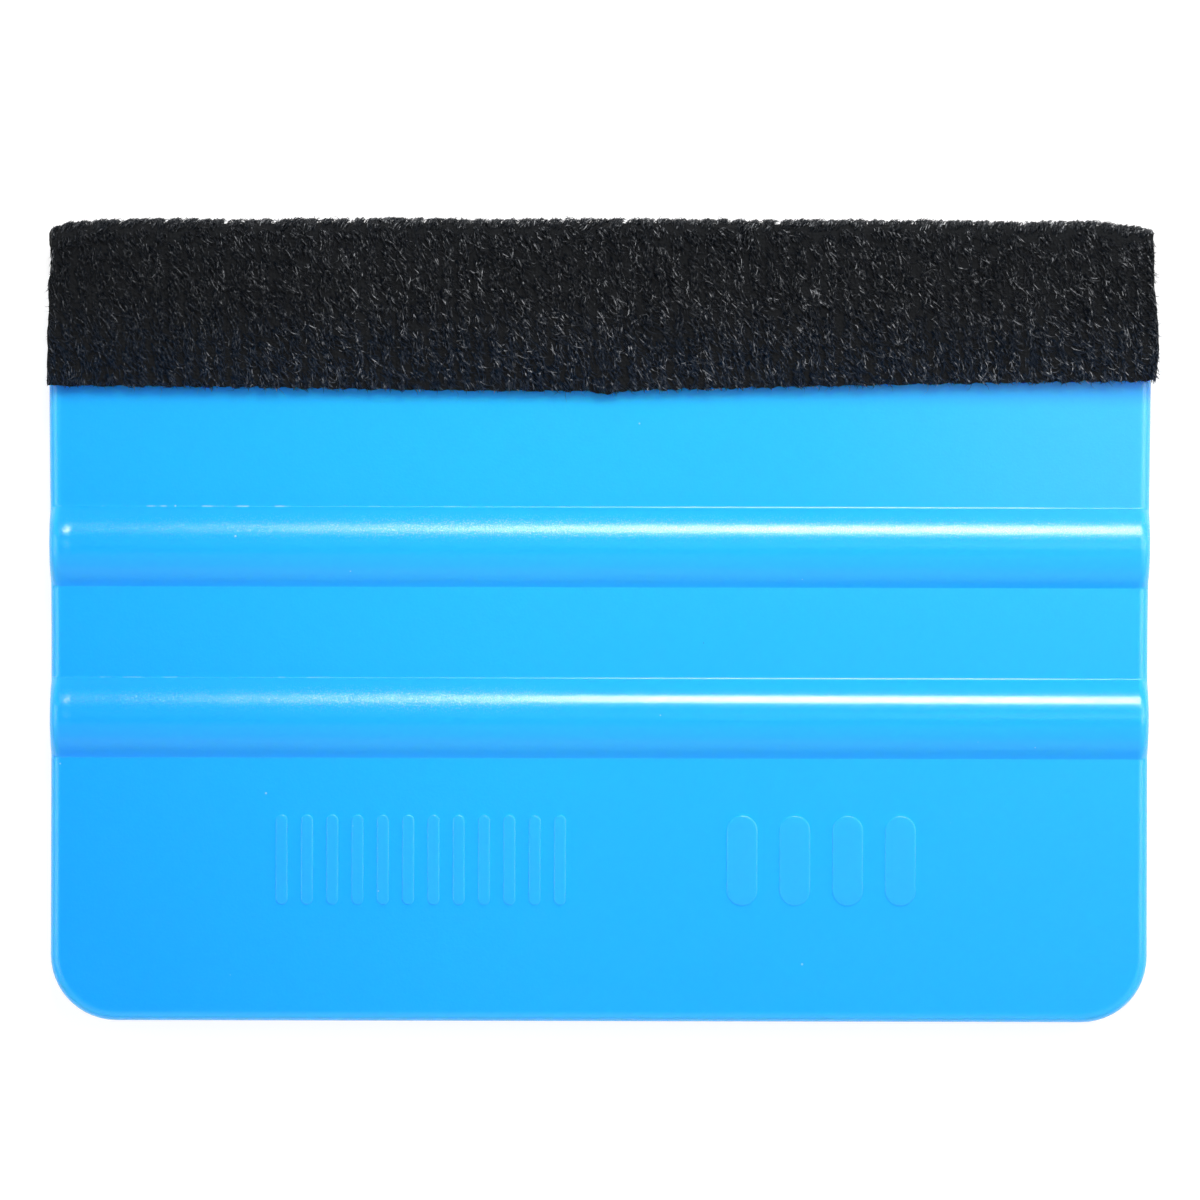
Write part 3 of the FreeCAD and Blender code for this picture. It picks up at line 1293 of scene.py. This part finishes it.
    def ground_cloth(self) -> bpy.types.Object:
        """The folded ground cloth, a thin closed sheet with a tufted face.

        Returns:
            The mesh object.
        """
        across, down = 360, 130
        steps = [np.linspace(0.0, 1.0, count + 1) for count in (across, down)]
        share_x, share_s = np.meshgrid(*steps, indexing="ij")
        faces = [self._cloth_face(path, share_x, share_s) for path in (self.outer, self.inner)]
        numbers = np.arange((across + 1) * (down + 1)).reshape(across + 1, down + 1)
        front = quad_grid(numbers)
        back = quad_grid(numbers)[:, ::-1] + numbers.size
        sides = [numbers[:-1, 0], numbers[-1, :-1], numbers[:0:-1, -1], numbers[0, :0:-1]]
        ring = np.concatenate(sides)
        after = np.roll(ring, -1)
        rim = np.column_stack([ring, ring + numbers.size, after + numbers.size, after])
        quads = np.concatenate([front, back, rim[:, ::-1]])
        points = np.concatenate([face.reshape(-1, 3) for face in faces])
        uv = np.column_stack([share_x.ravel(), share_s.ravel()])
        no_tris = np.empty((0, 3), int)
        return mesh_object("felt_ground_cloth", points, quads, no_tris, np.concatenate([uv, uv]))

    def _cloth_face(self, path: FoldedPath, share_x: Array, share_s: Array) -> Array:
        """Points of one face of the ground cloth; the outer one is tufted.

        Args:
            path: The face's profile.
            share_x: Shares of the way across, 0 at the left end.
            share_s: Shares of the way along, 0 at the back flap's edge.

        Returns:
            The points, of the shares' shape with a last axis of three.
        """
        x_guess = (share_x - 0.5) * 2.0 * self.left_x
        start, end = -self.back_end(x_guess), path.length + self.front_end(x_guess)
        along = start + (end - start) * share_s
        scaled = along * self.outer.length / path.length
        left, right = self.side_x(scaled, -1), self.side_x(scaled, 1)
        x = left + (right - left) * share_x
        rise = np.zeros_like(x)
        if path is self.outer:
            stripes = np.cos(2.0 * math.pi * x / self.wale)
            shift = math.pi * np.round(x / self.wale)
            rows = np.cos(2.0 * math.pi * along / self.course + shift)
            rise = self.stripe_height * stripes * (1.0 + self.row_share * rows)
        return self.settle(path.place(x, along, rise))


@dataclass(frozen=True)
class FibreKind:
    """How one kind of fibre grows.

    Attributes:
        density: Fibres on each square millimetre.
        length: Mean length.
        height: Mean height to which a fibre rises.
        radius: Radius at its root.
        spread_deg: Scatter of the headings.
        curl_deg: Scatter of how far a fibre turns along its length.
        overrun: How far it may stand past a cut edge.
        uneven: Scatter of the heights, as a share.
        loop: Share of its height that a fibre loses again at its tip.
        gather: How far its tip closes up to the tuft's middle, as a share.
    """

    density: float
    length: float
    height: float
    radius: float
    spread_deg: float
    curl_deg: float
    overrun: float
    uneven: float = 0.50
    loop: float = 0.18
    gather: float = 0.50


COMBED = FibreKind(12.0, 1.10 * MM, 0.46 * MM, 0.043 * MM, 12.0, 30.0, 0.40 * MM, loop=0.35)
TURNED = FibreKind(
    26.0, 0.75 * MM, 0.50 * MM, 0.043 * MM, 14.0, 24.0, 0.18 * MM, uneven=0.2, loop=0.7, gather=0.0
)
SPARSE = FibreKind(9.0, 1.30 * MM, 0.38 * MM, 0.042 * MM, 16.0, 40.0, 0.22 * MM)
FRIZZ = FibreKind(2.5, 0.75 * MM, 0.50 * MM, 0.030 * MM, 36.0, 70.0, 0.40 * MM)
STRAY = FibreKind(0.8, 0.70 * MM, 0.45 * MM, 0.030 * MM, 36.0, 70.0, 0.30 * MM)
STRAGGLER = FibreKind(1.0, 1.60 * MM, 0.30 * MM, 0.020 * MM, 34.0, 60.0, 1.10 * MM, loop=0.8)


@dataclass
class Pile:
    """Fibres standing on one zone of the strip.

    Attributes:
        felt: The strip that they grow on.
        zone: The stretch that they cover.
        kinds: The kinds of fibre in it.
        parts: How many pieces the zone is split into across the stroke.
        seed: Chooses the random draws.
        half_fold: Half the length of the fold's zone.
        half_width: Half the width on which fibres are tried.
        scatter: Scatter of the tufts' centres.
        tuft: Half the size of a tuft, across and along.
        turned_back: Distances past the fold between which the nap is turned.
        drift_deg: Slow change of the nap's lean over the strip.
        lean_deg: Scatter of the tufts' leans.
        even_body: Scatter of the tufts' fullness over the fold.
        uneven_body: Scatter of their fullness on the flaps.
        lengths: Scatter of the fibres' lengths.
        thicknesses: Scatter of their radii.
        tallest: The greatest height of a fibre.
        root_depth: How deep a fibre's root goes into the ground cloth.
        stations: Shares of a fibre's length at which it has a ring or its tip.
        taper: Share of the root's radius at each of them.
    """

    felt: FeltStrip
    zone: Zone
    kinds: tuple[FibreKind, ...]
    parts: int
    seed: int
    half_fold: float = 2.6 * MM
    half_width: float = 51.0 * MM
    scatter: float = 0.14 * MM
    tuft: tuple[float, float] = (0.64 * MM, 0.56 * MM)
    turned_back: tuple[float, float] = (-0.5 * MM, 1.6 * MM)
    drift_deg: float = 6.0
    lean_deg: float = 9.0
    even_body: Scatter = Scatter(0.08, 0.45, 1.5)
    uneven_body: Scatter = Scatter(0.25, 0.45, 1.5)
    lengths: Scatter = Scatter(0.25, 0.45, 1.7)
    thicknesses: Scatter = Scatter(0.2, 0.5, 1.6)
    tallest: float = 0.68 * MM
    root_depth: float = 0.05 * MM
    stations: tuple[float, ...] = (0.0, 0.3, 0.65, 1.0)
    taper: tuple[float, ...] = (1.0, 1.0, 0.75, 0.0)

    def span(self) -> tuple[float, float]:
        """Start and end of the zone along the strip."""
        low, high = self.felt.fold_at - self.half_fold, self.felt.fold_at + self.half_fold
        front = (high, self.felt.outer.length + 0.6 * MM)
        return {Zone.BACK: (0.0, low), Zone.FOLD: (low, high), Zone.FRONT: front}[self.zone]

    def build(self, part: int) -> bpy.types.Object:
        """Grow one share of the zone's fibres.

        Args:
            part: Which share across the stroke, from 0 at the left.

        Returns:
            The share as one mesh object.
        """
        rng = np.random.default_rng(1000 * self.seed + part)
        low = -self.half_width + 2.0 * self.half_width * part / self.parts
        tufts = self._tufts(rng, low, low + 2.0 * self.half_width / self.parts)
        grown = [self._fibres(rng, tufts, kind) for kind in self.kinds]
        fibres = {key: np.concatenate([kind[key] for kind in grown]) for key in grown[0]}
        return self._mesh(f"felt_pile_{self.zone.value}_{part + 1}", fibres)

    def _tufts(self, rng: np.random.Generator, low: float, high: float) -> dict[str, Array]:
        """Centres and leanings of the tufts between two places across.

        Args:
            rng: Source of the random draws.
            low: Left end of the share.
            high: Right end of the share.

        Returns:
            Arrays of x, along, lean and body of each tuft.
        """
        felt = self.felt
        start, end = self.span()
        columns = np.arange(math.ceil(low / felt.wale), math.ceil(high / felt.wale))
        rows = np.arange(math.ceil(start / felt.course), math.ceil(end / felt.course))
        column, row = (grid.ravel() for grid in np.meshgrid(columns, rows, indexing="ij"))
        count = column.size
        staggered = (row + 0.5 * (column % 2)) * felt.course
        x = column * felt.wale + self.scatter * rng.standard_normal(count)
        along = staggered + self.scatter * rng.standard_normal(count)
        drift = ripple(x + 0.4 * along, 23.0 * MM, 31) + ripple(along - 0.5 * x, 11.0 * MM, 32)
        leaning = felt.nap_deg + self.drift_deg * drift
        lean = np.radians(leaning + self.lean_deg * rng.standard_normal(count))
        past_fold = along - felt.fold_at
        turned = (past_fold > self.turned_back[0]) & (past_fold < self.turned_back[1])
        lean = np.where(turned, math.pi - lean, lean)
        fullness = self.even_body if self.zone is Zone.FOLD else self.uneven_body
        return {"x": x, "along": along, "lean": lean, "body": fullness.draw(rng, count)}

    def _fibres(
        self, rng: np.random.Generator, tufts: dict[str, Array], kind: FibreKind
    ) -> dict[str, Array]:
        """Centre lines of one kind of fibre in cloth coordinates.

        Args:
            rng: Source of the random draws.
            tufts: What _tufts gives.
            kind: The kind to grow.

        Returns:
            Arrays of x, along, rise, radius and heading at the stations of each
            fibre, and its shade.
        """
        felt = self.felt
        each = max(1, round(kind.density * felt.wale * felt.course / MM**2))
        pick = np.repeat(np.arange(tufts["x"].size), each)
        spin, out = 2.0 * math.pi * rng.random(pick.size), np.sqrt(rng.random(pick.size))
        off_x, off_s = self.tuft[0] * out * np.cos(spin), self.tuft[1] * out * np.sin(spin)
        x, along = tufts["x"][pick] + off_x, tufts["along"][pick] + off_s
        inside = (x > felt.side_x(along, -1)) & (x < felt.side_x(along, 1))
        inside &= (along > -felt.back_end(x)) & (along < felt.outer.length + felt.front_end(x))
        x, along, pick, off_x, out = (row[inside] for row in (x, along, pick, off_x, out))
        lean = tufts["lean"][pick] + np.radians(kind.spread_deg) * rng.standard_normal(x.size)
        curl = np.radians(kind.curl_deg) * rng.standard_normal(x.size)
        length = kind.length * self.lengths.draw(rng, x.size)
        stand = tufts["body"][pick] * (1.2 - 0.5 * out**2)
        uneven = Scatter(kind.uneven, 0.25, 1.7).draw(rng, x.size)
        fuzz = kind.overrun * rng.random(x.size) ** 2
        length = np.minimum(length, self._room(x, along, lean, fuzz))
        height = np.minimum(kind.height * stand * uneven, 0.8 * length)
        height = np.minimum(height, self.tallest)
        stations = np.array(self.stations)[None, :]
        turned = lean[:, None] + curl[:, None] * (stations - 0.3)
        gather = -kind.gather * off_x[:, None] * stations
        droop = 1.0 - (1.0 - stations) ** 2.2 - kind.loop * stations**3
        thick = kind.radius * self.thicknesses.draw(rng, x.size)
        return {
            "x": x[:, None] + length[:, None] * stations * np.sin(turned) + gather,
            "along": along[:, None] + length[:, None] * stations * np.cos(turned),
            "rise": height[:, None] * droop - self.root_depth * (stations == 0.0),
            "radius": thick[:, None] * np.array(self.taper)[None, :],
            "heading": turned,
            "shade": rng.random(x.size),
        }

    def _room(self, x: Array, along: Array, lean: Array, fuzz: Array) -> Array:
        """How long each fibre can be before it passes the strip's cut edges.

        Args:
            x: Roots across.
            along: Roots along.
            lean: Headings, measured from the strip's length towards +X.
            fuzz: How far each fibre may stand past an edge.

        Returns:
            The longest length for each fibre.
        """
        felt, shortest = self.felt, 0.15 * MM
        to_end = felt.outer.length + felt.front_end(x) + fuzz - along
        gaps = felt.side_x(along, 1) - x, x - felt.side_x(along, -1)
        side = np.where(lean > 0.0, *gaps) + fuzz
        ahead = to_end / np.maximum(np.cos(lean), 0.2)
        aside = side / np.maximum(np.abs(np.sin(lean)), 0.05)
        return np.maximum(np.minimum(ahead, aside), shortest)

    def _mesh(self, name: str, fibres: dict[str, Array]) -> bpy.types.Object:
        """Turn centre lines into closed three-sided tapering tubes.

        Args:
            name: Name of the object.
            fibres: What _fibres gives.

        Returns:
            The mesh object.
        """
        felt, heading = self.felt, fibres["heading"]
        centre = felt.settle(felt.outer.place(fibres["x"], fibres["along"], fibres["rise"]))
        normal = felt.outer.normal_at(fibres["along"])
        forward = np.stack([0.0 * heading, -normal[..., 2], normal[..., 1]], axis=-1)
        across = np.array([1.0, 0.0, 0.0])
        aside = np.cos(heading)[..., None] * across - np.sin(heading)[..., None] * forward
        count, radius = len(centre), fibres["radius"][:, :3, None]
        rings = []
        for angle in (math.radians(degrees) for degrees in (90.0, 210.0, 330.0)):
            spoke = math.sin(angle) * normal[:, :3] + math.cos(angle) * aside[:, :3]
            rings.append(centre[:, :3] + radius * spoke)
        tube = np.stack(rings, axis=2).reshape(count, 9, 3)
        points = np.concatenate([tube, centre[:, 3:]], axis=1).reshape(-1, 3)
        base = 10 * np.arange(count)[:, None, None]
        walls = [
            (ring + side, ring + (side + 1) % 3, ring + 3 + (side + 1) % 3, ring + 3 + side)
            for ring in (0, 3)
            for side in range(3)
        ]
        ends = [(2, 1, 0)] + [(6 + side, 6 + (side + 1) % 3, 9) for side in range(3)]
        quads = (base + np.array(walls)[None]).reshape(-1, 4)
        tris = (base + np.array(ends)[None]).reshape(-1, 3)
        share_x = fibres["x"] / (2.0 * self.half_width) + 0.5
        share_s = fibres["along"] / (felt.outer.length + 2.0 * MM) + 0.02
        station = np.stack([share_x, share_s], axis=-1)
        uv = np.concatenate([np.repeat(station[:, :3], 3, axis=1), station[:, 3:]], axis=1)
        made = mesh_object(name, points, quads, tris, uv.reshape(-1, 2))
        shade = made.data.attributes.new("strand", "FLOAT", "POINT")
        shade.data.foreach_set("value", np.repeat(fibres["shade"], 10).astype(np.float32))
        LOG.info("%s: %d fibres", name, count)
        return made


# ---- studio -------------------------------------------------------------------


@dataclass(frozen=True)
class Softbox:
    """One studio lamp that faces the object.

    Attributes:
        name: Name of the lamp.
        place: Its centre in the frame.
        size: Its width and height.
        radiance: Brightness of its face, where 1 is white.
    """

    name: str
    place: Place
    size: tuple[float, float]
    radiance: float

    def build(self) -> None:
        """Add the lamp, hidden from the camera."""
        lamp = bpy.data.lights.new(self.name, "AREA")
        lamp.shape = "RECTANGLE"
        lamp.size, lamp.size_y = self.size
        lamp.energy = self.radiance * math.pi * (self.size[0] * self.size[1])
        made = bpy.data.objects.new(self.name, lamp)
        made.location = self.place
        made.rotation_euler = (-Vector(self.place)).to_track_quat("-Z", "Y").to_euler()
        made.visible_camera = False
        bpy.context.scene.collection.objects.link(made)


@dataclass(frozen=True)
class Camera:
    """The camera, looking straight down at the front face.

    Attributes:
        frame_px: Side of the square picture.
        px_per_mm: Scale of the picture on the card's front land.
        centre_px: Where the footprint's centre falls in the picture.
        distance: Height of the camera above the front land.
        land_z: Height of the front land.
        roll_deg: Turn of the camera about its axis.
        sensor_mm: Width of the camera's sensor.
        clip: Nearest and farthest distance that it sees.
    """

    frame_px: float = 1200.0
    px_per_mm: float = 11.0
    centre_px: tuple[float, float] = (599.6, 620.4)
    distance: float = 550.0 * MM
    land_z: float = 4.15 * MM
    roll_deg: float = 0.13
    sensor_mm: float = 36.0
    clip: tuple[float, float] = (0.01, 10.0)

    def build(self) -> None:
        """Add the camera and look through it."""
        lens = bpy.data.cameras.new("camera")
        seen_mm = self.frame_px / self.px_per_mm
        lens.sensor_width = self.sensor_mm
        lens.lens = self.sensor_mm * (self.distance / MM) / seen_mm
        lens.clip_start, lens.clip_end = self.clip
        made = bpy.data.objects.new("camera", lens)
        middle = self.frame_px / 2
        x = (middle - self.centre_px[0]) / self.px_per_mm * MM
        y = (self.centre_px[1] - middle) / self.px_per_mm * MM
        made.location = (x, y, self.land_z + self.distance)
        made.rotation_euler = (0.0, 0.0, math.radians(self.roll_deg))
        bpy.context.scene.collection.objects.link(made)
        bpy.context.scene.camera = made


@dataclass(frozen=True)
class Room:
    """A white room whose ceiling is dim above the camera, seen only in reflections.

    A name that ends in _x, _y or _z is a change with that part of the direction.

    Attributes:
        ambient: Brightness of the diffuse light.
        south_gain: How much stronger that light is from the south.
        south_turn: From where to where it changes, by the direction's Y.
        walls_z: Brightness of the walls.
        ceiling: Brightness of the ceiling, by the sum of X and Y.
        window_x: Where the window begins, from the left.
        window_y: Where it begins, from the south.
        overhead_y: Where ceiling and window end.
        south_y: Brightness of the low light in the south.
        south_z: How high that light begins.
    """

    ambient: float = 0.33
    south_gain: float = 2.1
    south_turn: tuple[float, float] = (-0.9, 0.1)
    walls_z: Ease = Ease(0.10, 0.60, 0.35, 0.02)
    ceiling: Ease = Ease(-0.24, 0.16, 0.0, 0.25)
    window_x: Ease = Ease(0.035, 0.085)
    window_y: Ease = Ease(0.004, 0.035)
    overhead_y: Ease = Ease(0.10, 0.30, 1.0, 0.0)
    south_y: Ease = Ease(-0.08, -0.35, 0.0, 0.40)
    south_z: Ease = Ease(0.3, 0.6)

    def build(self) -> None:
        """Make the world."""
        room = bpy.data.worlds.new("room")
        room.use_nodes = True
        graph = Graph(room.node_tree)
        ray = graph.node("ShaderNodeLightPath").outputs
        heading = graph.node("ShaderNodeTexCoord").outputs["Generated"]
        glossy = graph.times(ray["Is Glossy Ray"], self._around(graph, heading))
        seen = graph.most(ray["Is Camera Ray"], ray["Is Transmission Ray"])
        other = graph.most(seen, ray["Is Glossy Ray"])
        turn = Ease(*self.south_turn, self.south_gain * self.ambient, self.ambient)
        lit = graph.times(graph.minus(1.0, other), graph.ramp(graph.axes(heading)[1], turn))
        strength = graph.plus(graph.most(seen, glossy), lit)
        back = graph.node("ShaderNodeBackground", {"Color": WHITE, "Strength": strength})
        graph.node("ShaderNodeOutputWorld", {"Surface": back.outputs["Background"]})
        bpy.context.scene.world = room

    def _around(self, graph: Graph, heading: Socket) -> Socket:
        """What a glossy surface reflects.

        Args:
            graph: The world's graph.
            heading: The direction looked in.

        Returns:
            The brightness there.
        """
        x, y, z = graph.axes(heading)
        diagonal = {0: heading, 1: (1.0, 1.0, 0.0)}
        toward = graph.node("ShaderNodeVectorMath", diagonal, operation="DOT_PRODUCT")
        ceiling = graph.ramp(toward.outputs["Value"], self.ceiling)
        window = graph.times(graph.ramp(x, self.window_x), graph.ramp(y, self.window_y))
        panel = graph.times(graph.plus(ceiling, window), graph.ramp(y, self.overhead_y))
        south = graph.times(graph.ramp(y, self.south_y), graph.ramp(z, self.south_z))
        return graph.plus(graph.ramp(z, self.walls_z), south, panel)


@dataclass(frozen=True)
class Table:
    """A white table that keeps the object's shadow and fades into the room.

    Attributes:
        half: Half its width.
        white: How pale it is for the light that it sends back.
        seen_white: How pale it is where it is looked at.
        glow: Brightness added where it is looked at.
        fade: Distances from the middle over which it fades out.
    """

    half: float = 0.5
    white: float = 0.90
    seen_white: float = 0.36
    glow: float = 0.80
    fade: Ease = Ease(0.12, 0.3)

    def build(self) -> None:
        """Add the table and its material."""
        signs = [(-1, -1), (1, -1), (1, 1), (-1, 1)]
        points = np.array([(x * self.half, y * self.half, 0.0) for x, y in signs])
        made = mesh_object("table", points, np.array([[0, 1, 2, 3]]), np.empty((0, 3), int))
        material = bpy.data.materials.new("white_table")
        material.use_nodes = True
        graph = Graph(material.node_tree)
        ray = graph.node("ShaderNodeLightPath").outputs
        matt, seen_matt = (
            graph.node("ShaderNodeBsdfDiffuse", {"Color": (pale, pale, pale, 1.0)})
            for pale in (self.white, self.seen_white)
        )
        glow = graph.node("ShaderNodeEmission", {"Color": WHITE, "Strength": self.glow})
        seen = graph.node("ShaderNodeAddShader", {0: seen_matt.outputs[0], 1: glow.outputs[0]})
        looked_at = graph.most(ray["Is Camera Ray"], ray["Is Glossy Ray"])
        picked = self._mix(graph, looked_at, matt, seen)
        away = graph.node("ShaderNodeVectorMath", {0: graph.place()}, operation="LENGTH")
        fading = graph.ramp(away.outputs["Value"], self.fade)
        faded = self._mix(graph, fading, picked, graph.node("ShaderNodeBsdfTransparent"))
        graph.node("ShaderNodeOutputMaterial", {"Surface": faded.outputs[0]})
        made.data.materials.append(material)

    @staticmethod
    def _mix(
        graph: Graph, share: Socket, first: bpy.types.Node, second: bpy.types.Node
    ) -> bpy.types.Node:
        """A mix of two shaders, with a share of the second."""
        sockets = {0: share, 1: first.outputs[0], 2: second.outputs[0]}
        return graph.node("ShaderNodeMixShader", sockets)


LAMPS = (
    Softbox("key_softbox", (0.044, 0.375, 0.455), (0.115, 0.135), 27.0),
    Softbox("key_wing", (0.190, 0.365, 0.455), (0.18, 0.20), 11.0),
    Softbox("right_softbox", (0.22, 0.05, 0.20), (0.20, 0.20), 1.7),
    Softbox("left_panel", (-0.42, 0.02, 0.36), (0.34, 0.40), 1.4),
    Softbox("low_fill", (-0.05, -0.42, 0.26), (0.60, 0.24), 0.26),
)


# ---- building -----------------------------------------------------------------


def dress(piece: bpy.types.Object, material: bpy.types.Material) -> None:
    """Give a piece one material on all its slots and report it."""
    piece.data.materials.clear()
    piece.data.materials.append(material)
    LOG.info("%s: %d faces", piece.name, len(piece.data.polygons))


def build_felt(effects: Effects) -> None:
    """Args:
        effects: The shared node groups.
    """
    card_low, card_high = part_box("blade")
    felt_low, felt_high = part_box("felt_strip")
    edge = CardEdge(tip_y=float(card_high[1]), mid_z=float(card_low[2] + card_high[2]) / 2)
    felt = FeltStrip(edge, free_y=float(felt_low[1]))
    cloth = felt.ground_cloth()
    dress(cloth, GroundKnit().material(effects))
    fibre = BlackFibre().material(effects, felt.free_y)
    plan = [
        Pile(felt, Zone.FRONT, (COMBED, FRIZZ, STRAGGLER), parts=4, seed=1),
        Pile(felt, Zone.FOLD, (TURNED, STRAY), parts=2, seed=2),
        Pile(felt, Zone.BACK, (SPARSE,), parts=2, seed=3),
    ]
    piles = [pile.build(part) for pile in plan for part in range(pile.parts)]
    for piece in piles:
        dress(piece, fibre)
    for piece in [cloth, *piles]:
        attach(piece, BODY)
        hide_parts("felt_strip")


def main() -> None:
    """Load the frame, build the studio round it and dress it."""
    logging.basicConfig(level=logging.INFO, format="%(name)s: %(message)s")
    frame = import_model()
    bpy.context.scene.view_settings.view_transform = "Standard"
    for part in (Camera(), *LAMPS, Room(), Table()):
        part.build()
    effects = Effects()
    dress(frame["nodes"]["blade"], MouldedPlastic().material(effects))
    dress(frame["nodes"]["adhesive_film"], BondingFilm().material(effects))
    build_felt(effects)


if __name__ == "__main__":
    main()
